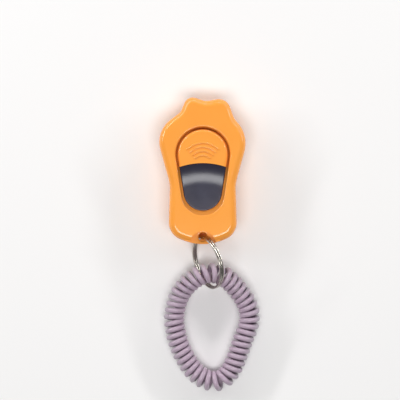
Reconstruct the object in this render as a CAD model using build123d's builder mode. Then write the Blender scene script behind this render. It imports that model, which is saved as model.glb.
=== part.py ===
from build123d import *
import math
import os

# Clicker trainer: a lobed two-part case that fills the palm, a hinged thumb button over a
# spring-steel click plate, and a split ring that carries a coiled wrist band.
# Millimetres. The case lies on its back: +Z comes out of its front face, +Y runs to the
# lobed end, and the origin is the middle of the flat back.

# Case
body_length = 61.1
body_width = 36.1
body_thickness = 16.0
waist_share = 0.7618
foot_share = 0.795
wall = 1.8
front_round = 3.0
back_round = 2.2
parting_chamfer = 0.15

# Outline: the corners of the case's edge before rounding, and one radius for each. The
# lobed end leans to the right, so its two sides differ.
foot_bulge = 2.15
foot_round = 23.0
heel_rise = 4.1
heel_round = 7.4
waist_rise = 25.0
waist_round = 14.0
right_shoulder_out = 1.35
right_shoulder_drop = 15.5
right_shoulder_round = 13.0
right_notch_in = 4.75
right_notch_drop = 8.95
right_notch_round = 8.0
right_toe_x = 9.9
right_toe_peak = 0.25
right_toe_round = 5.0
left_shoulder_out = 1.8
left_shoulder_drop = 14.1
left_shoulder_round = 11.5
left_notch_in = 8.75
left_notch_drop = 5.85
left_notch_round = 3.5
left_toe_x = 6.3
left_toe_peak = 1.15
left_toe_round = 3.8
dip_x = 1.2
dip_drop = 1.45
dip_round = 7.0

# Lip on the back shell that locates the front shell
lip_width = 0.8
lip_height = 1.0
lip_clearance = 0.1

# Button window: a wide circle at the lobed end drawn down to a narrower one
window_r = 11.5
window_foot_r = 9.1
window_from_lobe = 23.65
window_span = 16.5
window_round = 0.6
window_draft = 0.6
window_foot_slope = 1.0
collar_wall = 1.4
collar_depth = 4.2

# Button lever, thumb pad and their hinge
button_gap = 0.4
flange_reach = 0.9
flange_thickness = 1.2
flange_drop = 0.3
cap_drop = 0.4
cap_wall = 1.6
cap_round = 1.4
lip_arc_r = 29.9
lip_from_window = 3.7
hinge_from_window = 1.1
hinge_depth = 6.7
barrel_r = 2.1
barrel_length = 14.4
pin_r = 1.0
pin_clearance = 0.05
lug_width = 1.8
lug_gap = 0.3
press_angle = 4.0

# Raised sound waves on the button
wave_count = 4
wave_first_r = 4.3
wave_step = 1.7
wave_width = 0.8
wave_height = 0.4
wave_round = 0.3
waves_from_window = 4.6
wave_half_angle = 44.0

# Thumb pad
scoop_depth = 3.8
scoop_low_r = 21.0
scoop_lip_depth = 1.8
pad_edge_round = 0.5
peg_r = 1.2
peg_x = 4.0
peg_from_window = 12.9
peg_clearance = 0.05
pad_gap = 0.05

# Click plate, its clamp and the pusher that works it
plate_thickness = 0.4
plate_width = 12.0
plate_length = 27.8
plate_past_clamp = 0.3
plate_z = 5.6
dimple_r = 4.0
dimple_height = 0.9
dimple_from_window = 10.4
pusher_r = 1.8
pusher_from_window = 16.9
pusher_gap = 0.2
clamp_past_window = 5.6
clamp_depth = 6.0
clamp_width = 14.0
clamp_height = 1.6
stop_gap = 0.25
stop_width = 6.0
stop_thickness = 1.6

# Screws
case_screw_r = 1.1
case_screw_end_gap = 4.0
case_head_r = 2.1
case_head_sink = 0.3
boss_r = 2.6
heel_boss_x = 9.0
heel_boss_rise = 9.2
toe_boss_middle = 1.2
toe_boss_spread = 5.2
toe_boss_drop = 5.5
clamp_screw_r = 0.9
clamp_screw_length = 5.0
clamp_head_r = 1.7
clamp_head_height = 1.1
clamp_screw_x = 3.6
thread_clearance = 0.05
recess_width = 0.55
recess_depth = 0.7
recess_share = 0.6
head_edge_round = 0.35

# Lanyard end: a thin web between a front scallop and a wider back scallop
scallop_r = 5.35
scallop_wall = 1.5
back_scallop_r = 6.0
tunnel_floor = 2.6
web_depth = 2.7
web_thickness = 2.6
lanyard_hole_r = 1.85
lanyard_hole_rise = 2.9
lanyard_front_round = 0.55
lanyard_back_round = 0.9

# Split ring: two flat turns of wire, standing on its edge in the lanyard hole
ring_r = 10.9
ring_wire_width = 0.9
ring_wire_depth = 1.0
ring_wire_gap = 0.06
ring_neck = 0.5
ring_heading = 15.6
ring_lean = 27.4
ring_in_hole_x = -0.73
ring_in_hole_y = 0.2
ring_below_web = 1.35

# Wrist band: the outer shape of the coil, laid in a loop through the ring
coil_r = 4.4
band_route = [
    (-12.1, -61.4, 4.6),
    (-11.3, -55.4, 4.9),
    (-8.6, -50.0, 6.2),
    (-4.0, -45.2, 7.7),
    (2.3, -42.2, 8.7),
    (8.8, -43.5, 7.2),
    (14.3, -49.2, 5.6),
    (19.3, -56.4, 4.6),
    (20.2, -64.0, 4.45),
    (17.0, -71.3, 4.45),
    (14.6, -78.6, 4.45),
    (11.6, -85.4, 4.45),
    (6.8, -89.3, 4.45),
    (1.0, -88.4, 4.45),
    (-4.2, -84.4, 4.45),
    (-8.2, -77.8, 4.45),
    (-11.4, -70.2, 4.45),
    (-12.2, -62.4, 4.55),
]

half_length = body_length / 2
half_width = body_width / 2
half_waist = half_width * waist_share
half_foot = half_width * foot_share
face_z = body_thickness
parting_z = body_thickness / 2
foot_y = -half_length
inner_floor = wall
inner_face = face_z - wall
hole_y = foot_y + lanyard_hole_rise
web_low_z = face_z - web_depth - web_thickness
window_y = half_length - window_from_lobe
window_foot_y = window_y - window_span
lip_y = window_y - lip_from_window
wave_y = window_y - waves_from_window
hinge_y = window_y + window_r + hinge_from_window
hinge_z = face_z - hinge_depth
scoop_low_z = face_z - scoop_depth
scoop_lip_z = face_z - scoop_lip_depth
peg_y = window_y - peg_from_window
dimple_y = window_y - dimple_from_window
pusher_y = window_y - pusher_from_window
clamp_high_y = window_y + clamp_past_window
clamp_low_y = clamp_high_y - clamp_depth
plate_high_y = clamp_high_y + plate_past_clamp
plate_low_y = plate_high_y - plate_length
case_screw_length = face_z - case_screw_end_gap
plate_top = plate_z + plate_thickness
flange_top = face_z - collar_depth - flange_drop
flange_low = flange_top - flange_thickness
cap_z = face_z - cap_drop
boss_places = [
    (-heel_boss_x, foot_y + heel_boss_rise),
    (heel_boss_x, foot_y + heel_boss_rise),
    (toe_boss_middle - toe_boss_spread, half_length - toe_boss_drop),
    (toe_boss_middle + toe_boss_spread, half_length - toe_boss_drop),
]
clamp_screw_y = (clamp_low_y + clamp_high_y) / 2
clamp_screw_places = [(-clamp_screw_x, clamp_screw_y), (clamp_screw_x, clamp_screw_y)]


def case_outline():
    """The edge of the case: a rounded foot, a waist, two shoulders and two toes."""
    heel_y = foot_y + heel_rise
    waist_y = foot_y + waist_rise
    corners = [
        (0, foot_y - foot_bulge, foot_round),
        (half_foot, heel_y, heel_round),
        (half_waist, waist_y, waist_round),
        (half_width + right_shoulder_out, half_length - right_shoulder_drop, right_shoulder_round),
        (half_width - right_notch_in, half_length - right_notch_drop, right_notch_round),
        (right_toe_x, half_length + right_toe_peak, right_toe_round),
        (dip_x, half_length - dip_drop, dip_round),
        (-left_toe_x, half_length + left_toe_peak, left_toe_round),
        (left_notch_in - half_width, half_length - left_notch_drop, left_notch_round),
        (-half_width - left_shoulder_out, half_length - left_shoulder_drop, left_shoulder_round),
        (-half_waist, waist_y, waist_round),
        (-half_foot, heel_y, heel_round),
    ]
    return [(x, y) for x, y, radius in corners], [radius for x, y, radius in corners]


def outline_sketch(inset=0.0):
    """The case outline as a filled sketch, drawn in from the edge by the inset."""
    points, radii = case_outline()
    with BuildSketch() as outline:
        with BuildLine():
            FilletPolyline(points, radius=radii, close=True)
        make_face()
        if inset:
            offset(amount=-inset)
    return outline.sketch


def window_sketch(grow=0.0, foot_rise=0.0):
    """The window's shape, grown or shrunk, with its foot end drawn up by foot_rise."""
    with BuildSketch() as window:
        with Locations((0, window_y)):
            Circle(window_r + grow)
        with Locations((0, window_foot_y + foot_rise)):
            Circle(window_foot_r + grow)
        make_hull()
    return window.sketch


full_outline = outline_sketch()
inner_outline = outline_sketch(2 * parting_chamfer)
cavity_outline = outline_sketch(wall)
lip_outer = outline_sketch(wall - lip_width)
lip_recess = outline_sketch(wall - lip_width - lip_clearance)
opening = window_sketch(-window_draft, window_foot_slope)
button_shape = window_sketch(-window_draft - button_gap, window_foot_slope)
flange_shape = window_sketch(-window_draft - button_gap + flange_reach, window_foot_slope)

# Front shell: face, walls, window collar, hinge lugs, screw bosses and the lanyard web
with BuildPart() as front_shell:
    with BuildSketch(Plane.XY.offset(parting_z)):
        add(full_outline)
    extrude(amount=face_z - parting_z)
    fillet(front_shell.faces().sort_by(Axis.Z)[-1].edges(), radius=front_round)
    chamfer(front_shell.faces().sort_by(Axis.Z)[0].edges(), length=parting_chamfer)
    with BuildSketch(Plane.XY.offset(parting_z)):
        add(cavity_outline)
    extrude(amount=inner_face - parting_z, mode=Mode.SUBTRACT)
    with BuildSketch(Plane.XY.offset(parting_z)):
        add(lip_recess)
        add(cavity_outline, mode=Mode.SUBTRACT)
    extrude(amount=lip_height + lip_clearance, mode=Mode.SUBTRACT)
    with BuildSketch(Plane.XY.offset(face_z - collar_depth)):
        add(window_sketch(collar_wall))
    extrude(amount=collar_depth - wall / 2)
    with BuildSketch(Plane.XY.offset(parting_z)):
        with Locations(*boss_places):
            Circle(boss_r)
    extrude(amount=face_z - wall / 2 - parting_z)
    with BuildSketch(Plane.XY.offset(hinge_z - barrel_r)):
        lug_x = barrel_length / 2 + lug_gap + lug_width / 2
        with Locations((-lug_x, hinge_y), (lug_x, hinge_y)):
            Rectangle(lug_width, 2 * barrel_r)
    extrude(amount=face_z - wall / 2 - hinge_z + barrel_r)
    with BuildSketch(Plane.XY.offset(parting_z)):
        with Locations((0, foot_y)):
            Circle(back_scallop_r + scallop_wall)
        add(inner_outline, mode=Mode.INTERSECT)
    extrude(amount=face_z - wall / 2 - parting_z)
    with BuildSketch(Plane.XY.offset(face_z - collar_depth)):
        add(opening)
    with BuildSketch(Plane.XY.offset(face_z)):
        add(window_sketch())
    loft(mode=Mode.SUBTRACT)
    face_rims = front_shell.faces().sort_by(Axis.Z)[-1].inner_wires()
    fillet(face_rims[0].edges(), radius=window_round)
    with BuildSketch(Plane.XY.offset(web_low_z + web_thickness)):
        with Locations((0, foot_y)):
            Circle(scallop_r)
    extrude(amount=body_thickness, mode=Mode.SUBTRACT)
    with BuildSketch(Plane.XY.offset(web_low_z)):
        with Locations((0, foot_y)):
            Circle(back_scallop_r)
    extrude(amount=-body_thickness, mode=Mode.SUBTRACT)
    with Locations((0, hole_y, web_low_z + web_thickness)):
        Hole(lanyard_hole_r, depth=web_thickness)
    hole_rims = front_shell.edges().filter_by(GeomType.CIRCLE)
    hole_rims = hole_rims.filter_by(lambda edge: abs(edge.radius - lanyard_hole_r) < 0.01)
    fillet(hole_rims.sort_by(Axis.Z)[-1], radius=lanyard_front_round)
    fillet(hole_rims.sort_by(Axis.Z)[0], radius=lanyard_back_round)
    with Locations(*[(x, y, parting_z) for x, y in boss_places]):
        Cylinder(
            case_screw_r + thread_clearance,
            inner_face - parting_z,
            align=(Align.CENTER, Align.CENTER, Align.MIN),
            mode=Mode.SUBTRACT,
        )
    with Locations(Location((0, hinge_y, hinge_z), (0, 90, 0))):
        Cylinder(pin_r, 2 * (lug_x + lug_width), mode=Mode.SUBTRACT)
front_shell.part.label = "front_shell"

# Back shell: floor, walls, locating lip, bosses, plate seat, stop and the lanyard scallop
with BuildPart() as back_shell:
    with BuildSketch():
        add(full_outline)
    extrude(amount=parting_z)
    fillet(back_shell.faces().sort_by(Axis.Z)[0].edges(), radius=back_round)
    chamfer(back_shell.faces().sort_by(Axis.Z)[-1].edges(), length=parting_chamfer)
    with BuildSketch(Plane.XY.offset(inner_floor)):
        add(cavity_outline)
    extrude(amount=parting_z - inner_floor, mode=Mode.SUBTRACT)
    with BuildSketch(Plane.XY.offset(parting_z)):
        add(lip_outer)
        add(cavity_outline, mode=Mode.SUBTRACT)
        with Locations((0, foot_y)):
            Circle(back_scallop_r + scallop_wall + lip_clearance, mode=Mode.SUBTRACT)
    extrude(amount=lip_height)
    with BuildSketch(Plane.XY.offset(inner_floor / 2)):
        with Locations(*boss_places):
            Circle(boss_r)
        with Locations((0, foot_y)):
            Circle(back_scallop_r + scallop_wall)
        add(inner_outline, mode=Mode.INTERSECT)
    extrude(amount=parting_z - inner_floor / 2)
    with BuildSketch(Plane.XY.offset(inner_floor / 2)):
        with Locations((0, (clamp_low_y + clamp_high_y) / 2)):
            Rectangle(clamp_width, clamp_high_y - clamp_low_y)
    extrude(amount=plate_z - inner_floor / 2)
    with BuildSketch(Plane.XY.offset(inner_floor / 2)):
        stop_y = plate_low_y - stop_thickness / 2 - 2 * stop_gap
        with Locations((0, stop_y)):
            Rectangle(stop_width, stop_thickness)
    stop_drop = (hinge_y - stop_y + stop_thickness / 2) * math.sin(math.radians(press_angle))
    extrude(amount=flange_low - stop_drop - stop_gap - inner_floor / 2)
    with BuildSketch(Plane.XY.offset(tunnel_floor)):
        with Locations((0, foot_y)):
            Circle(back_scallop_r)
    extrude(amount=body_thickness, mode=Mode.SUBTRACT)
    with Locations(*[Location((x, y, case_head_sink), (180, 0, 0)) for x, y in boss_places]):
        Cylinder(case_head_r + thread_clearance, 4 * case_head_sink, mode=Mode.SUBTRACT)
        CounterSinkHole(
            case_screw_r + thread_clearance,
            case_head_r + thread_clearance,
            depth=parting_z,
            counter_sink_angle=90,
        )
    with Locations(*[(x, y, plate_z) for x, y in clamp_screw_places]):
        Hole(clamp_screw_r + thread_clearance, depth=plate_z - inner_floor)
back_shell.part.label = "back_shell"

# Button lever: flange under the window's collar, cap with the raised waves, hinge barrel
# and the pusher that rests over the click plate
lip_centre_y = lip_y - lip_arc_r
with BuildPart() as button_lever:
    with BuildSketch(Plane.XY.offset(flange_low)):
        add(flange_shape)
    extrude(amount=flange_thickness)
    with BuildSketch(Plane.XY.offset(flange_low)):
        add(button_shape)
        with Locations((0, lip_centre_y)):
            Circle(lip_arc_r, mode=Mode.SUBTRACT)
    extrude(amount=cap_z - flange_low)
    cap_rim = button_lever.faces().sort_by(Axis.Z)[-1].edges()
    fillet(cap_rim.filter_by(lambda edge: edge.center().Y > lip_y + 0.1), radius=cap_round)
    with BuildSketch(Plane.XY.offset(flange_low)):
        add(window_sketch(-window_draft - button_gap - cap_wall, window_foot_slope))
        with Locations((0, lip_centre_y)):
            Circle(lip_arc_r + cap_wall, mode=Mode.SUBTRACT)
    extrude(amount=cap_z - cap_wall - flange_low, mode=Mode.SUBTRACT)
    with BuildSketch(Plane.YZ.offset(-barrel_length / 2)):
        with Locations((hinge_y, hinge_z)):
            Circle(barrel_r)
        with Locations(((hinge_y + window_y + window_r - cap_wall) / 2, hinge_z + barrel_r / 2)):
            Rectangle(hinge_y - window_y - window_r + cap_wall, barrel_r)
    extrude(amount=barrel_length)
    with BuildSketch(Plane.XY.offset(flange_low)):
        with Locations((0, pusher_y)):
            Circle(pusher_r)
    extrude(amount=plate_top + pusher_gap - flange_low)
    fillet(button_lever.faces().sort_by(Axis.Z)[0].edges(), radius=pusher_r / 2)
    for step in range(wave_count):
        wave_r = wave_first_r + step * wave_step
        wave = CenterArc(
            (0, wave_y), wave_r, 90 - wave_half_angle, 2 * wave_half_angle, mode=Mode.PRIVATE
        )
        with BuildSketch(Plane.XY.offset(cap_z - wave_height)):
            SlotArc(wave, wave_width)
        extrude(amount=2 * wave_height)
    fillet(button_lever.faces().group_by(Axis.Z)[-1].edges(), radius=wave_round)
    with Locations(Location((0, hinge_y, hinge_z), (0, 90, 0))):
        Cylinder(pin_r + pin_clearance, 2 * barrel_length, mode=Mode.SUBTRACT)
    with Locations((-peg_x, peg_y, flange_top), (peg_x, peg_y, flange_top)):
        Hole(peg_r + peg_clearance, depth=flange_thickness)
button_lever.part.label = "button_lever"

# Thumb pad: soft insert on the lever, scooped for the thumb in an arc below the cap's lip
with BuildPart() as thumb_pad:
    with BuildSketch(Plane.XY.offset(flange_top)):
        add(button_shape)
        with Locations((0, lip_centre_y)):
            Circle(lip_arc_r - pad_gap, mode=Mode.INTERSECT)
    extrude(amount=cap_z - flange_top)
    with BuildSketch(Plane((0, lip_centre_y, 0), x_dir=(0, 1, 0), z_dir=(1, 0, 0))):
        with BuildLine():
            floor_line = Line((0, scoop_low_z), (scoop_low_r, scoop_low_z))
            rise = RadiusArc(
                (scoop_low_r, scoop_low_z),
                (lip_arc_r, scoop_lip_z),
                -((lip_arc_r - scoop_low_r) ** 2 + (scoop_lip_z - scoop_low_z) ** 2)
                / (2 * (scoop_lip_z - scoop_low_z)),
            )
            Polyline(rise @ 1, (lip_arc_r + cap_wall, scoop_lip_z), (lip_arc_r + cap_wall, 2 * cap_z),
                     (0, 2 * cap_z), floor_line @ 0)
        make_face()
    revolve(axis=Axis((0, lip_centre_y, 0), (0, 0, 1)), mode=Mode.SUBTRACT)
    pad_top = thumb_pad.edges().filter_by_position(Axis.Z, scoop_low_z - 0.01, scoop_low_z + 0.01)
    fillet(pad_top.filter_by(GeomType.CIRCLE).sort_by(Axis.Y)[0], radius=pad_edge_round)
    with BuildSketch(Plane.XY.offset(flange_top)):
        with Locations((-peg_x, peg_y), (peg_x, peg_y)):
            Circle(peg_r)
    extrude(amount=-flange_thickness)
thumb_pad.part.label = "thumb_pad"

# Hinge pin: steel rod through the lever's barrel, held in the front shell's two lugs
with BuildPart() as hinge_pin:
    with Locations(Location((0, hinge_y, hinge_z), (0, 90, 0))):
        Cylinder(pin_r, barrel_length + 2 * lug_gap + 2 * lug_width)
    chamfer(hinge_pin.edges(), length=pin_r / 5)
hinge_pin.part.label = "hinge_pin"

# Click plate: spring-steel strip with a pressed dimple, held at one end
with BuildPart() as click_plate:
    with BuildSketch(Plane.XY.offset(plate_z)):
        with Locations((0, (plate_low_y + plate_high_y) / 2)):
            RectangleRounded(plate_width, plate_length, plate_width / 6)
        with Locations(*clamp_screw_places):
            Circle(clamp_screw_r + thread_clearance, mode=Mode.SUBTRACT)
    extrude(amount=plate_thickness)
    dimple_ball_r = (dimple_r**2 + dimple_height**2) / (2 * dimple_height)
    with BuildSketch(Plane((0, dimple_y, 0), x_dir=(0, 1, 0), z_dir=(1, 0, 0))):
        with Locations((0, plate_top + dimple_height - dimple_ball_r)):
            Circle(dimple_ball_r)
        with Locations((0, plate_z + body_thickness / 2)):
            Rectangle(2 * dimple_r, body_thickness, mode=Mode.INTERSECT)
        with Locations((body_thickness / 2, plate_z)):
            Rectangle(body_thickness, body_thickness, mode=Mode.INTERSECT)
    revolve(axis=Axis((0, dimple_y, 0), (0, 0, 1)))
    with BuildSketch(Plane((0, dimple_y, 0), x_dir=(0, 1, 0), z_dir=(1, 0, 0))):
        with Locations((0, plate_top + dimple_height - dimple_ball_r)):
            Circle(dimple_ball_r - plate_thickness)
        with Locations((body_thickness / 2, plate_z)):
            Rectangle(body_thickness, body_thickness, mode=Mode.INTERSECT)
    revolve(axis=Axis((0, dimple_y, 0), (0, 0, 1)), mode=Mode.SUBTRACT)
click_plate.part.label = "click_plate"

# Plate clamp: bar across the plate's fixed end
with BuildPart() as plate_clamp:
    with BuildSketch(Plane.XY.offset(plate_top)):
        with Locations((0, clamp_screw_y)):
            Rectangle(clamp_width, clamp_high_y - clamp_low_y)
    extrude(amount=clamp_height)
    fillet(plate_clamp.edges().filter_by(Axis.Z), radius=clamp_height / 2)
    chamfer(plate_clamp.faces().sort_by(Axis.Z)[-1].edges(), length=clamp_height / 5)
    with Locations(*[(x, y, plate_top + clamp_height) for x, y in clamp_screw_places]):
        Hole(clamp_screw_r + thread_clearance)
plate_clamp.part.label = "plate_clamp"


def cross_recess(head_plane, head_r):
    """Cut the cross that a screwdriver turns into the head on this plane."""
    with BuildSketch(head_plane) as cross:
        Rectangle(recess_width, recess_share * 2 * head_r)
        Rectangle(recess_share * 2 * head_r, recess_width)
    extrude(cross.sketch, amount=-recess_depth, mode=Mode.SUBTRACT)


# Clamp screws: two pan-head screws that hold the plate under its bar
with BuildPart() as clamp_screws:
    for x, y in clamp_screw_places:
        head_z = plate_top + clamp_height
        with Locations((x, y, head_z)):
            Cylinder(clamp_head_r, clamp_head_height, align=(Align.CENTER, Align.CENTER, Align.MIN))
            Cylinder(
                clamp_screw_r, clamp_screw_length, align=(Align.CENTER, Align.CENTER, Align.MAX)
            )
    fillet(clamp_screws.edges().group_by(Axis.Z)[-1], radius=head_edge_round)
    for x, y in clamp_screw_places:
        cross_recess(Plane((x, y, head_z + clamp_head_height), z_dir=(0, 0, 1)), clamp_head_r)
clamp_screws.part.label = "clamp_screws"

# Case screws: four countersunk screws from the back that hold the shells together
with BuildPart() as case_screws:
    for x, y in boss_places:
        with Locations((x, y, case_head_sink)):
            Cylinder(case_screw_r, case_screw_length, align=(Align.CENTER, Align.CENTER, Align.MIN))
            Cone(
                case_head_r,
                case_screw_r,
                case_head_r - case_screw_r,
                align=(Align.CENTER, Align.CENTER, Align.MIN),
            )
        cross_recess(Plane((x, y, case_head_sink), z_dir=(0, 0, -1)), case_head_r)
case_screws.part.label = "case_screws"

# Split ring: two turns of flat wire side by side, upright in the hole of the lanyard web
heading = math.radians(ring_heading)
lean = math.radians(ring_lean)
web_middle = web_low_z + web_thickness / 2
ring_hold = Vector(ring_in_hole_x, hole_y - ring_in_hole_y, web_middle - ring_below_web)
ring_axis = Vector(math.cos(lean) * math.cos(heading), math.cos(lean) * math.sin(heading),
                   -math.sin(lean))
ring_reach = Vector(-math.sin(heading), math.cos(heading), 0)
ring_centre = ring_hold - ring_reach * ring_r
with BuildPart() as split_ring:
    with BuildSketch(Plane(ring_centre, x_dir=ring_reach, z_dir=ring_reach.cross(ring_axis))):
        turn_offset = (ring_wire_width + ring_wire_gap) / 2
        with Locations((ring_r, -turn_offset), (ring_r, turn_offset)):
            RectangleRounded(ring_wire_depth, ring_wire_width, ring_wire_width / 4)
        with Locations((ring_r, 0)):
            Rectangle(ring_neck, ring_wire_width)
    revolve(axis=Axis(ring_centre, ring_axis))
split_ring.part.label = "split_ring"


def route_radii(route):
    """Bend radius at each inner point: 0.45 of the shorter run over the half-turn's tangent."""
    points = [Vector(point) for point in route]
    radii = []
    for before, here, after in zip(points, points[1:], points[2:]):
        turn = (here - before).get_angle(after - here)
        shorter = min((here - before).length, (after - here).length)
        radii.append(0.45 * shorter / math.tan(math.radians(turn / 2)))
    return radii


# Wrist band: the coil's outer shape, a plain tube along its loop with its ends brought together
band_radii = route_radii(band_route)
with BuildPart() as wrist_coil:
    with BuildLine() as band_path:
        FilletPolyline(band_route, radius=band_radii)
    path_start = band_path.line @ 0
    path_way = band_path.line % 0
    with BuildSketch(Plane(path_start, z_dir=path_way)):
        Circle(coil_r)
    sweep(path=band_path.line)
wrist_coil.part.label = "wrist_coil"

band_length = sum(edge.length for edge in band_path.line.edges())
section_volume = math.pi * coil_r**2 * band_length
print("band radii", [round(radius, 1) for radius in band_radii])
print("band length", round(band_length, 1))
print("band volume over section times length", round(wrist_coil.part.volume / section_volume, 4))

os.makedirs("parts", exist_ok=True)
pieces = [
    front_shell,
    back_shell,
    button_lever,
    thumb_pad,
    hinge_pin,
    click_plate,
    plate_clamp,
    clamp_screws,
    case_screws,
    split_ring,
    wrist_coil,
]
for piece in pieces:
    export_step(piece.part, f"parts/{piece.part.label}.step")
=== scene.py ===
# Clicker trainer: a two-shell plastic case with a hinged thumb button, carried on a coiled
# wrist band through a split ring. The object lies on its back on a pale table.
import math

import bmesh
import bpy
import numpy as np
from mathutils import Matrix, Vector, noise


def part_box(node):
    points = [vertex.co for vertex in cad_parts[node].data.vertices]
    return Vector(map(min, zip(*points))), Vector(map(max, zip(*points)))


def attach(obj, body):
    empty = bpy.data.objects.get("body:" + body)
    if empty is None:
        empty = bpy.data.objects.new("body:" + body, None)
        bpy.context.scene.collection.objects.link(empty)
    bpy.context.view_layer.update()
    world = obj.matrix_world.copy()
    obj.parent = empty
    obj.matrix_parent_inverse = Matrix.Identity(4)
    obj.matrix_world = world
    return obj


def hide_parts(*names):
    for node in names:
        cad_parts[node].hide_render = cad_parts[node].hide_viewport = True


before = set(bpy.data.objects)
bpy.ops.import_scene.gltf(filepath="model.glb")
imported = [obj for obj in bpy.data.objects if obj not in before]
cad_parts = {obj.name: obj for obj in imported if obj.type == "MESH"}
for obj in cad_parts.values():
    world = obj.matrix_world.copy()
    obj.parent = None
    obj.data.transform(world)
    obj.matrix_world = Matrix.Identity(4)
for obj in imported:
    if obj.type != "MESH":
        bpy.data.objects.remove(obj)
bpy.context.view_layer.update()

# Camera: straight above the case and its band, far enough away that the sides hardly show.
view_middle = Vector((-0.00116, -0.01218, 0.010))
view_distance = 0.70
view_width = 0.168
camera = bpy.data.objects.new("camera", bpy.data.cameras.new("camera"))
camera.data.sensor_width = 36.0
camera.data.lens = camera.data.sensor_width * view_distance / view_width
camera.data.clip_start = 0.01
camera.location = view_middle + Vector((0, 0, view_distance))
bpy.context.scene.collection.objects.link(camera)
bpy.context.scene.camera = camera
bpy.context.scene.view_settings.view_transform = "Standard"


# Wrist band: one long strand of soft translucent polyurethane, wound on a rod and set by heat
# into a close coil, then laid in a loop and its two ends welded to each other.
band_route = [
    (-0.0121, -0.0614, 0.0046),
    (-0.0113, -0.0554, 0.0049),
    (-0.0086, -0.0500, 0.0062),
    (-0.0040, -0.0452, 0.0077),
    (0.0024, -0.0424, 0.0087),
    (0.0088, -0.0438, 0.0073),
    (0.0142, -0.0492, 0.0056),
    (0.0193, -0.0564, 0.0046),
    (0.0202, -0.0640, 0.00445),
    (0.0170, -0.0713, 0.00445),
    (0.0146, -0.0786, 0.00445),
    (0.0116, -0.0854, 0.00445),
    (0.0068, -0.0893, 0.00445),
    (0.0010, -0.0884, 0.00445),
    (-0.0042, -0.0844, 0.00445),
    (-0.0082, -0.0778, 0.00445),
    (-0.0114, -0.0702, 0.00445),
    (-0.0122, -0.0624, 0.00455),
]
strand_width = 0.00215
winding_radius = 0.00335
close_pitch = 0.00272
least_inner_spacing = 0.00208
weld_turn = math.radians(55)
weld_swell = 0.10
weld_reach = 0.0007
strand_sides = 14
steps_per_turn = 40
route_resolution = 40
route_step = 0.0001
route_smoothing = 12
bend_smoothing = 30
pitch_smoothing = 15
wander_rate = 180.0
pitch_wander = 0.05
radius_wander = 0.010
slow_swell = 0.006
slow_swell_rate = 0.37


def linear(hex_colour):
    """The linear colour, with alpha, of an sRGB hex value."""
    parts = [int(hex_colour[i : i + 2], 16) / 255 for i in (1, 3, 5)]
    parts = [p / 12.92 if p <= 0.04045 else ((p + 0.055) / 1.055) ** 2.4 for p in parts]
    return (*parts, 1.0)


def add_node(tree, kind, inputs=None, **settings):
    """Adds a node, gives it its settings, and sets or links its inputs by name or number."""
    node = tree.nodes.new(kind)
    for name, value in settings.items():
        setattr(node, name, value)
    for socket, value in (inputs or {}).items():
        if isinstance(value, bpy.types.NodeSocket):
            tree.links.new(value, node.inputs[socket])
        else:
            node.inputs[socket].default_value = value
    return node


def new_finish(name):
    """A material with nothing in it but its shader, and the tree to add to."""
    material = bpy.data.materials.new(name)
    material.use_nodes = True
    tree = material.node_tree
    return material, tree, tree.nodes["Principled BSDF"]


def new_piece(name, mesh, material, body):
    """Puts a finished mesh in the scene as a piece that rides on a body."""
    piece = bpy.data.objects.new(name, mesh)
    bpy.context.scene.collection.objects.link(piece)
    piece.data.materials.clear()
    piece.data.materials.append(material)
    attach(piece, body)
    return piece


def spline_points(points, resolution):
    """The places along a smooth curve that has these points as its control points."""
    curve = bpy.data.curves.new("route", "CURVE")
    curve.dimensions = "3D"
    curve.resolution_u = resolution
    spline = curve.splines.new("NURBS")
    spline.points.add(len(points) - 1)
    for control, place in zip(spline.points, points):
        control.co = (*place, 1.0)
    spline.order_u = 3
    spline.use_endpoint_u = True
    holder = bpy.data.objects.new("route", curve)
    bpy.context.scene.collection.objects.link(holder)
    bpy.context.view_layer.update()
    mesh = bpy.data.meshes.new_from_object(holder)
    places = np.array([vertex.co for vertex in mesh.vertices], float)
    bpy.data.objects.remove(holder)
    bpy.data.curves.remove(curve)
    bpy.data.meshes.remove(mesh)
    return places


def evenly(places, step):
    """The same line with its points an equal step apart."""
    runs = np.linalg.norm(np.diff(places, axis=0), axis=1)
    along = np.concatenate([[0.0], np.cumsum(runs)])
    count = max(2, int(round(along[-1] / step)) + 1)
    wanted = np.linspace(0.0, along[-1], count)
    return np.stack([np.interp(wanted, along, places[:, axis]) for axis in range(3)], axis=1)


def unit(vectors):
    return vectors / np.linalg.norm(vectors, axis=-1, keepdims=True)


def loop_smooth(values, reach):
    """A closed run of values averaged over its neighbours out to a reach, both ways."""
    kernel = np.hanning(2 * reach + 3)[1:-1]
    kernel = kernel / kernel.sum()
    padded = np.concatenate([values[-reach:], values, values[:reach]])
    return np.convolve(padded, kernel, mode="valid")


middle = spline_points(band_route, route_resolution)
middle = np.concatenate([middle, middle[:1]])
middle = evenly(middle, route_step)[:-1]
for axis in range(3):
    middle[:, axis] = loop_smooth(middle[:, axis], route_smoothing)
runs = np.linalg.norm(np.diff(middle, axis=0, append=middle[:1]), axis=1)
forward = unit(np.roll(middle, -1, axis=0) - np.roll(middle, 1, axis=0))
turning = np.roll(forward, -1, axis=0) - np.roll(forward, 1, axis=0)
outward = unit(np.cross(np.array([0.0, 0.0, 1.0]), forward))
upward = np.cross(forward, outward)
bend = -np.einsum("ij,ij->i", turning, outward) / (2 * runs.mean())
bend = loop_smooth(bend, bend_smoothing)
wander = np.array([noise.noise(Vector(place) * wander_rate) for place in middle])
pitch = np.maximum(close_pitch, least_inner_spacing / (1 - np.abs(bend) * winding_radius))
pitch = loop_smooth(pitch * (1 + pitch_wander * wander), pitch_smoothing)
turns = float((runs / pitch).sum())
whole_turns = round(turns)
turn = np.cumsum(runs / pitch) - runs[0] / pitch[0]
turn = weld_turn + 2 * math.pi * turn * whole_turns / turns
steps = whole_turns * steps_per_turn
wanted = weld_turn + 2 * math.pi * whole_turns * np.linspace(0, 1, steps + 1)


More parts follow.
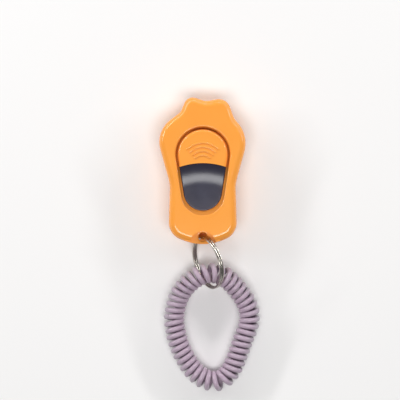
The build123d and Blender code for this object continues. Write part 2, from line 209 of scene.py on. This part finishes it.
def at_turn(values):
    """A value of the loop's line at each of the strand's steps, the last one back at the first."""
    closed_turn = np.append(turn, weld_turn + 2 * math.pi * whole_turns)
    closed = np.concatenate([values, values[:1]])
    columns = closed.reshape(len(closed), -1).T
    picked = np.stack([np.interp(wanted, closed_turn, column) for column in columns], axis=1)
    return picked if values.ndim > 1 else picked[:, 0]


swing = np.cos(wanted)[:, None] * unit(at_turn(outward))
rise = np.sin(wanted)[:, None] * unit(at_turn(upward))
reach_out = swing + rise
loose = 1 + slow_swell * np.sin(wanted * slow_swell_rate) + radius_wander * at_turn(wander)
strand = at_turn(middle) + winding_radius * loose[:, None] * reach_out
strand_steps = np.linalg.norm(np.diff(strand, axis=0), axis=1)
strand_along = np.concatenate([[0.0], np.cumsum(strand_steps)])
strand_length = float(strand_along[-1])


def tube_mesh(name, line, side, width, sides, extra=None):
    """A closed round tube along a line, with its length and girth as UV, in metres."""
    heading = unit(np.gradient(line, axis=0))
    first = unit(side - np.einsum("ij,ij->i", side, heading)[:, None] * heading)
    second = np.cross(heading, first)
    girth = np.linspace(0, 2 * math.pi, sides, endpoint=False)
    across = np.cos(girth)[None, :, None] * first[:, None]
    ring = across + np.sin(girth)[None, :, None] * second[:, None]
    places = line[:, None] + width[:, None, None] / 2 * ring
    along = np.concatenate([[0.0], np.cumsum(np.linalg.norm(np.diff(line, axis=0), axis=1))])
    shape = bmesh.new()
    uv = shape.loops.layers.uv.new("along_strand")
    value = shape.verts.layers.float.new("outer") if extra is not None else None
    rows = [[shape.verts.new(place) for place in row] for row in places]
    if value is not None:
        for row, amount in zip(rows, extra):
            for vertex in row:
                vertex[value] = float(amount)
    for i in range(len(rows) - 1):
        for j in range(sides):
            k = (j + 1) % sides
            face = shape.faces.new((rows[i][j], rows[i][k], rows[i + 1][k], rows[i + 1][j]))
            face.smooth = True
            corners = [(i, j), (i, j + 1), (i + 1, j + 1), (i + 1, j)]
            for loop, (a, b) in zip(face.loops, corners):
                loop[uv].uv = (along[a], b / sides * math.pi * float(width[a]))
    for row in (rows[0], rows[-1]):
        shape.faces.new(row)
    bmesh.ops.recalc_face_normals(shape, faces=shape.faces)
    mesh = bpy.data.meshes.new(name)
    shape.to_mesh(mesh)
    shape.free()
    return mesh


from_weld = np.minimum(strand_along, strand_length - strand_along)
strand_girth = strand_width * (1 + weld_swell * np.exp(-((from_weld / weld_reach) ** 2)))
band_mesh = tube_mesh(
    "wrist_band", strand, reach_out, strand_girth, strand_sides, np.cos(wanted)
)

# Soft translucent polyurethane, extruded: a satin skin, mauve where it is thick and lit, with a painted grey
# reflection on the outer side of each turn, and faint draw lines along the strand.
polyurethane, tree, shader = new_finish("polyurethane_strand")
strand_colour = linear("#bfadbb")
# Grey of a painted reflection, laid on the outer side of each turn.
painted_reflection_colour = linear("#a3a2a6")
draw_line_width = 0.00025
draw_line_rate = 40.0
place = add_node(tree, "ShaderNodeUVMap", uv_map="along_strand")
outer = add_node(tree, "ShaderNodeAttribute", attribute_name="outer")
stretch = add_node(
    tree,
    "ShaderNodeMapping",
    {"Vector": place.outputs["UV"], "Scale": (draw_line_rate, 1 / draw_line_width, 1.0)},
)
lines = add_node(
    tree, "ShaderNodeTexNoise", {"Vector": stretch.outputs[0], "Scale": 1.0, "Detail": 3.0}
)
patch_place = add_node(tree, "ShaderNodeTexCoord")
patches = add_node(
    tree, "ShaderNodeTexNoise", {"Vector": patch_place.outputs["Object"], "Scale": 220.0}
)
# Painted reflection: the outer side of each turn is mixed towards grey, as if lit by white surroundings.
painted_reflection_mask = add_node(
    tree,
    "ShaderNodeMapRange",
    {"Value": outer.outputs["Fac"], "From Min": 0.35, "From Max": 0.95, "To Min": 0.0, "To Max": 0.9},
)
strand_and_painted_reflection = add_node(
    tree,
    "ShaderNodeMix",
    {0: painted_reflection_mask.outputs[0], 6: strand_colour, 7: painted_reflection_colour},
    data_type="RGBA",
)
deeper = add_node(
    tree,
    "ShaderNodeMix",
    {0: patches.outputs["Fac"], 6: strand_and_painted_reflection.outputs[2], 7: linear("#b59fb2")},
    data_type="RGBA",
)
gloss = add_node(
    tree,
    "ShaderNodeMapRange",
    {"Value": lines.outputs["Fac"], "To Min": 0.24, "To Max": 0.36},
)
relief = add_node(
    tree,
    "ShaderNodeBump",
    {"Height": lines.outputs["Fac"], "Strength": 0.12, "Distance": 0.00006},
)
tree.links.new(deeper.outputs[2], shader.inputs["Base Color"])
tree.links.new(gloss.outputs[0], shader.inputs["Roughness"])
tree.links.new(relief.outputs[0], shader.inputs["Normal"])
shader.inputs["IOR"].default_value = 1.49
shader.inputs["Subsurface Weight"].default_value = 0.25
shader.inputs["Subsurface Radius"].default_value = (1.0, 0.8, 0.95)
shader.inputs["Subsurface Scale"].default_value = 0.0009
wrist_band = new_piece("wrist_band", band_mesh, polyurethane, "band")
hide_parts("wrist_coil")


# Split ring: a flat steel strip wound into two turns that lie side by side, then nickel
# plated. Its two ends stop short of each other where the strip crosses from turn to turn.
ring_middle = Vector((0.0022, -0.03835, 0.01065))
ring_heading = math.radians(15.6)
ring_lean = math.radians(27.4)
ring_radius = 0.0109
strip_width = 0.00090
strip_depth = 0.00100
strip_round = 0.00025
turn_spacing = 0.00096
end_gap = math.radians(7)
cross_over = math.radians(9)
ends_past_low = math.radians(22)
ring_steps = 360
corner_steps = 5
outline_step = 0.0002
ring_axis = np.array(
    [
        math.cos(ring_lean) * math.cos(ring_heading),
        math.cos(ring_lean) * math.sin(ring_heading),
        -math.sin(ring_lean),
    ]
)
ring_side = np.array([-math.sin(ring_heading), math.cos(ring_heading), 0.0])
ring_low = np.cross(ring_axis, ring_side)
ring_low = ring_low if ring_low[2] < 0 else -ring_low
away = -ring_side
ends_way = math.cos(ends_past_low) * ring_low + math.sin(ends_past_low) * away
ring_side = np.cross(ends_way, ring_axis)
corner = np.linspace(0, math.pi / 2, corner_steps)
strip_outline = []
for quarter in range(4):
    for angle in corner + quarter * math.pi / 2:
        sx = math.copysign(1, math.cos(quarter * math.pi / 2 + math.pi / 4))
        sy = math.copysign(1, math.sin(quarter * math.pi / 2 + math.pi / 4))
        strip_outline.append(
            (
                sx * (strip_depth / 2 - strip_round) + strip_round * math.cos(angle),
                sy * (strip_width / 2 - strip_round) + strip_round * math.sin(angle),
            )
        )
ring_turn = np.linspace(end_gap, 4 * math.pi - end_gap, ring_steps)
shift = np.clip((ring_turn - 2 * math.pi) / cross_over, -1, 1)
shift = np.sin(shift * math.pi / 2) * turn_spacing / 2
shape = bmesh.new()
uv = shape.loops.layers.uv.new("along_strip")
rows = []
for angle, sideways in zip(ring_turn, shift):
    out = math.cos(angle) * ends_way + math.sin(angle) * ring_side
    row = []
    for deep, wide in strip_outline:
        spot = (ring_radius + deep) * out + (sideways + wide) * ring_axis
        row.append(shape.verts.new(ring_middle + Vector(spot)))
    rows.append(row)
for i in range(len(rows) - 1):
    for j in range(len(strip_outline)):
        k = (j + 1) % len(strip_outline)
        face = shape.faces.new((rows[i][j], rows[i][k], rows[i + 1][k], rows[i + 1][j]))
        face.smooth = True
        for loop, (a, b) in zip(face.loops, [(i, j), (i, j + 1), (i + 1, j + 1), (i + 1, j)]):
            loop[uv].uv = (ring_turn[a] * ring_radius, b * outline_step)
for row in (rows[0], rows[-1]):
    shape.faces.new(row)
bmesh.ops.recalc_face_normals(shape, faces=shape.faces)
ring_mesh = bpy.data.meshes.new("key_ring")
shape.to_mesh(ring_mesh)
shape.free()

# Nickel plate over drawn steel: bright and warm-white, with fine hairlines along the strip.
nickel, tree, shader = new_finish("nickel_plated_steel")
hairline_width = 0.00008
hairline_rate = 90.0
place = add_node(tree, "ShaderNodeUVMap", uv_map="along_strip")
stretch = add_node(
    tree,
    "ShaderNodeMapping",
    {"Vector": place.outputs["UV"], "Scale": (hairline_rate, 1 / hairline_width, 1.0)},
)
hairs = add_node(
    tree, "ShaderNodeTexNoise", {"Vector": stretch.outputs[0], "Scale": 1.0, "Detail": 4.0}
)
gloss = add_node(
    tree,
    "ShaderNodeMapRange",
    {"Value": hairs.outputs["Fac"], "To Min": 0.20, "To Max": 0.28},
)
relief = add_node(
    tree,
    "ShaderNodeBump",
    {"Height": hairs.outputs["Fac"], "Strength": 0.04, "Distance": 0.00003},
)
tree.links.new(gloss.outputs[0], shader.inputs["Roughness"])
tree.links.new(relief.outputs[0], shader.inputs["Normal"])
shader.inputs["Base Color"].default_value = linear("#bdb8b0")
shader.inputs["Metallic"].default_value = 1.0
key_ring = new_piece("key_ring", ring_mesh, nickel, "ring")
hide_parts("split_ring")


# Case shells: two halves injection moulded in orange ABS from polished tools, screwed
# together from the back. The halves meet along one line round the middle of the edge.
crease_angle = math.radians(28)


def moulded_mesh(node, name):
    """A copy of a node's mesh with its points joined and its curved faces shaded as curves."""
    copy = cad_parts[node].data.copy()
    copy.name = name
    shape = bmesh.new()
    shape.from_mesh(copy)
    bmesh.ops.remove_doubles(shape, verts=shape.verts, dist=2e-7)
    for face in shape.faces:
        face.smooth = True
    for edge in shape.edges:
        if len(edge.link_faces) == 2:
            edge.smooth = edge.calc_face_angle(0.0) < crease_angle
    shape.to_mesh(copy)
    shape.free()
    holder = bpy.data.objects.new(name, copy)
    bpy.context.scene.collection.objects.link(holder)
    weigh = holder.modifiers.new("weigh", "WEIGHTED_NORMAL")
    weigh.keep_sharp = True
    weigh.weight = 80
    graph = bpy.context.evaluated_depsgraph_get()
    mesh = bpy.data.meshes.new_from_object(holder.evaluated_get(graph))
    mesh.name = name
    bpy.data.objects.remove(holder)
    bpy.data.meshes.remove(copy)
    return mesh


# ABS, injection moulded: a deep even orange under a glossy skin, with the faint waviness of
# a moulded face (swells of about 5 mm) and a fine grain in the gloss.
orange_abs, tree, shader = new_finish("moulded_abs")
face_colour = linear("#ffa94a")
flow_colour = linear("#fca141")
swell_size = 0.005
grain_size = 0.0005
place = add_node(tree, "ShaderNodeTexCoord")
flow = add_node(
    tree,
    "ShaderNodeTexNoise",
    {"Vector": place.outputs["Object"], "Scale": 1 / 0.012, "Detail": 2.0},
)
colour = add_node(
    tree,
    "ShaderNodeMix",
    {0: flow.outputs["Fac"], 6: face_colour, 7: flow_colour},
    data_type="RGBA",
)
swell = add_node(
    tree,
    "ShaderNodeTexNoise",
    {"Vector": place.outputs["Object"], "Scale": 1 / swell_size, "Detail": 1.0},
)
grain = add_node(
    tree,
    "ShaderNodeTexNoise",
    {"Vector": place.outputs["Object"], "Scale": 1 / grain_size, "Detail": 3.0},
)
gloss = add_node(
    tree,
    "ShaderNodeMapRange",
    {"Value": grain.outputs["Fac"], "To Min": 0.10, "To Max": 0.17},
)
waviness = add_node(
    tree,
    "ShaderNodeBump",
    {"Height": swell.outputs["Fac"], "Strength": 0.25, "Distance": 0.00006},
)
fine = add_node(
    tree,
    "ShaderNodeBump",
    {
        "Height": grain.outputs["Fac"],
        "Strength": 0.10,
        "Distance": 0.00001,
        "Normal": waviness.outputs[0],
    },
)
tree.links.new(colour.outputs[2], shader.inputs["Base Color"])
tree.links.new(gloss.outputs[0], shader.inputs["Roughness"])
tree.links.new(fine.outputs[0], shader.inputs["Normal"])
shader.inputs["IOR"].default_value = 1.53

front_case = new_piece(
    "front_case", moulded_mesh("front_shell", "front_case"), orange_abs, "case"
)
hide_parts("front_shell")
back_case = new_piece(
    "back_case", moulded_mesh("back_shell", "back_case"), orange_abs, "case"
)
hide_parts("back_shell")


# Button: a moulded lever in the same orange ABS, with four raised sound waves on its cap. It
# turns on the pin at the lobed end and presses the click plate under it.
button = new_piece(
    "button", moulded_mesh("button_lever", "button"), orange_abs, "button"
)
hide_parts("button_lever")


# Thumb pad: a scooped insert of dark grey soft-touch plastic, pegged into the lever.
pad = new_piece(
    "thumb_rest",
    moulded_mesh("thumb_pad", "thumb_rest"),
    new_finish("soft_touch_plastic")[0],
    "button",
)
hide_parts("thumb_pad")

# Soft-touch polypropylene, moulded from a lightly spark-eroded tool: blue-grey, satin, with a
# grain of about 0.3 mm that spreads its reflections.
pad_plastic = pad.data.materials[0]
tree = pad_plastic.node_tree
shader = tree.nodes["Principled BSDF"]
pad_grain = 0.0003
place = add_node(tree, "ShaderNodeTexCoord")
grain = add_node(
    tree,
    "ShaderNodeTexNoise",
    {"Vector": place.outputs["Object"], "Scale": 1 / pad_grain, "Detail": 3.0},
)
handling = add_node(
    tree,
    "ShaderNodeTexNoise",
    {"Vector": place.outputs["Object"], "Scale": 1 / 0.004, "Detail": 3.0},
)
colour = add_node(
    tree,
    "ShaderNodeMix",
    {0: handling.outputs["Fac"], 6: linear("#2f2f40"), 7: linear("#373749")},
    data_type="RGBA",
)
gloss = add_node(
    tree,
    "ShaderNodeMapRange",
    {"Value": handling.outputs["Fac"], "To Min": 0.19, "To Max": 0.25},
)
relief = add_node(
    tree,
    "ShaderNodeBump",
    {"Height": grain.outputs["Fac"], "Strength": 0.15, "Distance": 0.00002},
)
tree.links.new(colour.outputs[2], shader.inputs["Base Color"])
tree.links.new(gloss.outputs[0], shader.inputs["Roughness"])
tree.links.new(relief.outputs[0], shader.inputs["Normal"])
shader.inputs["IOR"].default_value = 1.50


# Hinge pin: a ground steel rod with broken edges, held in the front shell's two lugs.
steel, tree, shader = new_finish("ground_steel")
scratch_width = 0.00012
scratch_rate = 300.0
place = add_node(tree, "ShaderNodeTexCoord")
stretch = add_node(
    tree,
    "ShaderNodeMapping",
    {"Vector": place.outputs["Object"], "Scale": (1 / scratch_width, scratch_rate, scratch_rate)},
)
scratches = add_node(
    tree, "ShaderNodeTexNoise", {"Vector": stretch.outputs[0], "Scale": 1.0, "Detail": 3.0}
)
gloss = add_node(
    tree,
    "ShaderNodeMapRange",
    {"Value": scratches.outputs["Fac"], "To Min": 0.22, "To Max": 0.42},
)
relief = add_node(
    tree,
    "ShaderNodeBump",
    {"Height": scratches.outputs["Fac"], "Strength": 0.2, "Distance": 0.00002},
)
tree.links.new(gloss.outputs[0], shader.inputs["Roughness"])
tree.links.new(relief.outputs[0], shader.inputs["Normal"])
shader.inputs["Base Color"].default_value = linear("#bdbab6")
shader.inputs["Metallic"].default_value = 1.0
pin = new_piece("pivot_pin", moulded_mesh("hinge_pin", "pivot_pin"), steel, "case")
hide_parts("hinge_pin")


# Click plate: hardened spring strip with a pressed dimple that snaps through under the
# pusher. It is blued by its heat treatment, straw at the edges of the colour.
spring_strip, tree, shader = new_finish("tempered_spring_steel")
rolled_line_width = 0.0001
rolled_line_rate = 250.0
place = add_node(tree, "ShaderNodeTexCoord")
stretch = add_node(
    tree,
    "ShaderNodeMapping",
    {"Vector": place.outputs["Object"], "Scale": (1 / rolled_line_width, rolled_line_rate, rolled_line_rate)},
)
rolling = add_node(
    tree, "ShaderNodeTexNoise", {"Vector": stretch.outputs[0], "Scale": 1.0, "Detail": 3.0}
)
heat = add_node(
    tree,
    "ShaderNodeTexNoise",
    {"Vector": place.outputs["Object"], "Scale": 1 / 0.006, "Detail": 2.0},
)
colour = add_node(
    tree,
    "ShaderNodeMix",
    {0: heat.outputs["Fac"], 6: linear("#9a9ca6"), 7: linear("#b8aa94")},
    data_type="RGBA",
)
gloss = add_node(
    tree,
    "ShaderNodeMapRange",
    {"Value": rolling.outputs["Fac"], "To Min": 0.20, "To Max": 0.38},
)
tree.links.new(colour.outputs[2], shader.inputs["Base Color"])
tree.links.new(gloss.outputs[0], shader.inputs["Roughness"])
shader.inputs["Metallic"].default_value = 1.0
click = new_piece(
    "click_strip", moulded_mesh("click_plate", "click_strip"), spring_strip, "case"
)
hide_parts("click_plate")


# Plate clamp: a plain grey bar of glass-filled nylon across the plate's fixed end.
nylon, tree, shader = new_finish("glass_filled_nylon")
fibre_size = 0.0004
place = add_node(tree, "ShaderNodeTexCoord")
fibres = add_node(
    tree,
    "ShaderNodeTexNoise",
    {"Vector": place.outputs["Object"], "Scale": 1 / fibre_size, "Detail": 4.0},
)
colour = add_node(
    tree,
    "ShaderNodeMix",
    {0: fibres.outputs["Fac"], 6: linear("#6c6d72"), 7: linear("#85868a")},
    data_type="RGBA",
)
gloss = add_node(
    tree,
    "ShaderNodeMapRange",
    {"Value": fibres.outputs["Fac"], "To Min": 0.42, "To Max": 0.58},
)
tree.links.new(colour.outputs[2], shader.inputs["Base Color"])
tree.links.new(gloss.outputs[0], shader.inputs["Roughness"])
clamp = new_piece(
    "clamp_bar", moulded_mesh("plate_clamp", "clamp_bar"), nylon, "case"
)
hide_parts("plate_clamp")


# Screws: zinc-plated steel with a cross recess. Four countersunk ones go in from the back and
# hold the shells together; two pan heads hold the clamp. Each has a rolled thread.
recess_width = 0.00055
recess_depth = 0.0007
thread_pitch = 0.0009
thread_height = 0.00022
thread_turn_steps = 18
head_sides = 48
shank_sides = 24

zinc, tree, shader = new_finish("zinc_plated_steel")
place = add_node(tree, "ShaderNodeTexCoord")
mottle = add_node(
    tree,
    "ShaderNodeTexNoise",
    {"Vector": place.outputs["Object"], "Scale": 1 / 0.0006, "Detail": 3.0},
)
colour = add_node(
    tree,
    "ShaderNodeMix",
    {0: mottle.outputs["Fac"], 6: linear("#c3c5c9"), 7: linear("#aeb0b2")},
    data_type="RGBA",
)
gloss = add_node(
    tree,
    "ShaderNodeMapRange",
    {"Value": mottle.outputs["Fac"], "To Min": 0.24, "To Max": 0.42},
)
tree.links.new(colour.outputs[2], shader.inputs["Base Color"])
tree.links.new(gloss.outputs[0], shader.inputs["Roughness"])
shader.inputs["Metallic"].default_value = 1.0

screw_tree = bpy.data.node_groups.new("cross_recess_screw", "GeometryNodeTree")
screw_tree.interface.new_socket(name="Places", in_out="INPUT", socket_type="NodeSocketGeometry")
screw_inputs = {}
for size_name in ("Head radius", "Neck radius", "Head height", "Shank radius", "Length", "Head side"):
    screw_inputs[size_name] = screw_tree.interface.new_socket(
        name=size_name, in_out="INPUT", socket_type="NodeSocketFloat"
    )
screw_tree.interface.new_socket(name="Screws", in_out="OUTPUT", socket_type="NodeSocketGeometry")
sizes = add_node(screw_tree, "NodeGroupInput").outputs
head = add_node(
    screw_tree,
    "GeometryNodeMeshCone",
    {
        "Vertices": head_sides,
        "Radius Top": sizes["Neck radius"],
        "Radius Bottom": sizes["Head radius"],
        "Depth": sizes["Head height"],
    },
)
reach = add_node(
    screw_tree, "ShaderNodeMath", {0: sizes["Head radius"], 1: 1.2}, operation="MULTIPLY"
)
bar_size = add_node(
    screw_tree,
    "ShaderNodeCombineXYZ",
    {"X": reach.outputs[0], "Y": recess_width, "Z": 2 * recess_depth},
)
bar = add_node(screw_tree, "GeometryNodeMeshCube", {"Size": bar_size.outputs[0]})
other_bar = add_node(
    screw_tree,
    "GeometryNodeTransform",
    {"Geometry": bar.outputs[0], "Rotation": (0, 0, math.pi / 2)},
)
cut_once = add_node(
    screw_tree, "GeometryNodeMeshBoolean", {"Mesh 1": head.outputs["Mesh"]}, operation="DIFFERENCE"
)
screw_tree.links.new(bar.outputs[0], cut_once.inputs["Mesh 2"])
screw_tree.links.new(other_bar.outputs[0], cut_once.inputs["Mesh 2"])
root = add_node(
    screw_tree,
    "ShaderNodeMath",
    {0: sizes["Shank radius"], 1: thread_height},
    operation="SUBTRACT",
)
shank = add_node(
    screw_tree,
    "GeometryNodeMeshCylinder",
    {"Vertices": shank_sides, "Radius": root.outputs[0], "Depth": sizes["Length"]},
)
half = add_node(
    screw_tree, "ShaderNodeMath", {0: sizes["Length"], 1: 0.5}, operation="MULTIPLY"
)
shank_shift = add_node(screw_tree, "ShaderNodeCombineXYZ", {"Z": half.outputs[0]})
shank_placed = add_node(
    screw_tree,
    "GeometryNodeTransform",
    {"Geometry": shank.outputs["Mesh"], "Translation": shank_shift.outputs[0]},
)
thread_turns = add_node(
    screw_tree, "ShaderNodeMath", {0: sizes["Length"], 1: thread_pitch}, operation="DIVIDE"
)
thread_rise = add_node(
    screw_tree, "ShaderNodeMath", {0: sizes["Length"], 1: 0.9}, operation="MULTIPLY"
)
thread_line = add_node(
    screw_tree,
    "GeometryNodeCurveSpiral",
    {
        "Resolution": thread_turn_steps,
        "Rotations": thread_turns.outputs[0],
        "Start Radius": root.outputs[0],
        "End Radius": root.outputs[0],
        "Height": thread_rise.outputs[0],
    },
)
thread_profile = add_node(
    screw_tree, "GeometryNodeCurvePrimitiveCircle", {"Resolution": 3, "Radius": thread_height}
)
thread = add_node(
    screw_tree,
    "GeometryNodeCurveToMesh",
    {
        "Curve": thread_line.outputs[0],
        "Profile Curve": thread_profile.outputs[0],
        "Fill Caps": True,
    },
)
one_screw = add_node(screw_tree, "GeometryNodeJoinGeometry")
for part in (thread.outputs[0], shank_placed.outputs[0], cut_once.outputs[0]):
    screw_tree.links.new(part, one_screw.inputs[0])
flip = add_node(
    screw_tree,
    "ShaderNodeMath",
    {0: sizes["Head side"], 1: math.pi},
    operation="MULTIPLY",
)
turned = add_node(screw_tree, "ShaderNodeCombineXYZ", {"X": flip.outputs[0]})
screw_way = add_node(
    screw_tree,
    "GeometryNodeTransform",
    {"Geometry": one_screw.outputs[0], "Rotation": turned.outputs[0]},
)
on_places = add_node(
    screw_tree,
    "GeometryNodeInstanceOnPoints",
    {"Points": sizes["Places"], "Instance": screw_way.outputs[0]},
)
made_real = add_node(
    screw_tree, "GeometryNodeRealizeInstances", {"Geometry": on_places.outputs[0]}
)
plated = add_node(
    screw_tree, "GeometryNodeSetMaterial", {"Geometry": made_real.outputs[0], "Material": zinc}
)
add_node(screw_tree, "NodeGroupOutput", {0: plated.outputs[0]})


def set_of_screws(name, node, places, screw_sizes):
    """Screws of one size at these places, as a plain mesh that stands for their node."""
    points = bpy.data.meshes.new(name)
    points.from_pydata(places, [], [])
    holder = bpy.data.objects.new(name, points)
    bpy.context.scene.collection.objects.link(holder)
    maker = holder.modifiers.new("screws", "NODES")
    maker.node_group = screw_tree
    for size_name, size in screw_sizes.items():
        maker[screw_inputs[size_name].identifier] = size
    graph = bpy.context.evaluated_depsgraph_get()
    mesh = bpy.data.meshes.new_from_object(holder.evaluated_get(graph))
    bpy.data.objects.remove(holder)
    bpy.data.meshes.remove(points)
    shape = bmesh.new()
    shape.from_mesh(mesh)
    bmesh.ops.remove_doubles(shape, verts=shape.verts, dist=1e-7)
    for face in shape.faces:
        face.smooth = True
    for edge in shape.edges:
        if len(edge.link_faces) == 2:
            edge.smooth = edge.calc_face_angle(0.0) < crease_angle
    shape.to_mesh(mesh)
    shape.free()
    screws = new_piece(name, mesh, zinc, "case")
    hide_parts(node)
    return screws


low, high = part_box("case_screws")
case_head_radius = 0.0021
case_head_height = 0.0010
case_shank_radius = 0.0011
toe_middle_x = 0.0012
toe_screw_x = 0.0052
heel_y = low.y + case_head_radius
toe_y = high.y - case_head_radius
heel_x = high.x - case_head_radius
set_of_screws(
    "shell_screws",
    "case_screws",
    [
        (-heel_x, heel_y, low.z),
        (heel_x, heel_y, low.z),
        (toe_middle_x - toe_screw_x, toe_y, low.z),
        (toe_middle_x + toe_screw_x, toe_y, low.z),
    ],
    {
        "Head radius": case_head_radius,
        "Neck radius": case_shank_radius,
        "Head height": case_head_height,
        "Shank radius": case_shank_radius,
        "Length": high.z - low.z,
        "Head side": 0.0,
    },
)
low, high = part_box("clamp_screws")
pan_radius = 0.0017
pan_height = 0.0011
pan_shank_radius = 0.0009
set_of_screws(
    "bar_screws",
    "clamp_screws",
    [
        (low.x + pan_radius, (low.y + high.y) / 2, high.z),
        (high.x - pan_radius, (low.y + high.y) / 2, high.z),
    ],
    {
        "Head radius": pan_radius,
        "Neck radius": pan_radius,
        "Head height": pan_height,
        "Shank radius": pan_shank_radius,
        "Length": high.z - low.z,
        "Head side": 1.0,
    },
)


# Table and light: a matt pale table and large soft lamps. The high lamp at the foot end lights
# the faces and lies across the thumb scoop; low strips draw the bright line round the edge.
table_mesh = bpy.data.meshes.new("table_top")
half_table = 3.0
table_mesh.from_pydata(
    [
        (-half_table, -half_table, 0),
        (half_table, -half_table, 0),
        (half_table, half_table, 0),
        (-half_table, half_table, 0),
    ],
    [],
    [(0, 1, 2, 3)],
)
table_top = bpy.data.objects.new("table_top", table_mesh)
table_top.location = (0, 0, -0.0001)
bpy.context.scene.collection.objects.link(table_top)
laminate, tree, shader = new_finish("matt_laminate")
place = add_node(tree, "ShaderNodeTexCoord")
tooth = add_node(
    tree,
    "ShaderNodeTexNoise",
    {"Vector": place.outputs["Object"], "Scale": 1 / 0.0008, "Detail": 2.0},
)
gloss = add_node(
    tree,
    "ShaderNodeMapRange",
    {"Value": tooth.outputs["Fac"], "To Min": 0.6, "To Max": 0.75},
)
tree.links.new(gloss.outputs[0], shader.inputs["Roughness"])
shader.inputs["Base Color"].default_value = linear("#f4f3f2")
shader.inputs["Specular IOR Level"].default_value = 0.2
table_mesh.materials.append(laminate)

lamp_target = Vector((0, -0.005, 0.012))
lamps = [
    # name, turn from +X, height angle, distance, width, height, radiance
    ("foot_softbox", -90, 75, 0.80, 0.64, 0.24, 8.2),
    ("left_strip", 150, 24, 0.70, 0.60, 0.05, 24.0),
    ("right_strip", 34, 24, 0.70, 0.60, 0.05, 20.0),
    ("lobe_strip", 92, 26, 0.70, 0.60, 0.05, 13.0),
]
for name, turn_angle, height_angle, distance, wide, tall, radiance in lamps:
    data = bpy.data.lights.new(name, "AREA")
    data.shape = "RECTANGLE"
    data.size = wide
    data.size_y = tall
    data.energy = radiance * math.pi * wide * tall
    lamp = bpy.data.objects.new(name, data)
    a, b = math.radians(turn_angle), math.radians(height_angle)
    way = Vector((math.cos(b) * math.cos(a), math.cos(b) * math.sin(a), math.sin(b)))
    lamp.location = lamp_target + way * distance
    lamp.rotation_euler = (-way).to_track_quat("-Z", "Y").to_euler()
    bpy.context.scene.collection.objects.link(lamp)
world = bpy.data.worlds.new("studio")
world.use_nodes = True
sky = world.node_tree.nodes["Background"]
sky.inputs["Color"].default_value = linear("#f7f7fb")
sky.inputs["Strength"].default_value = 0.10
bpy.context.scene.world = world
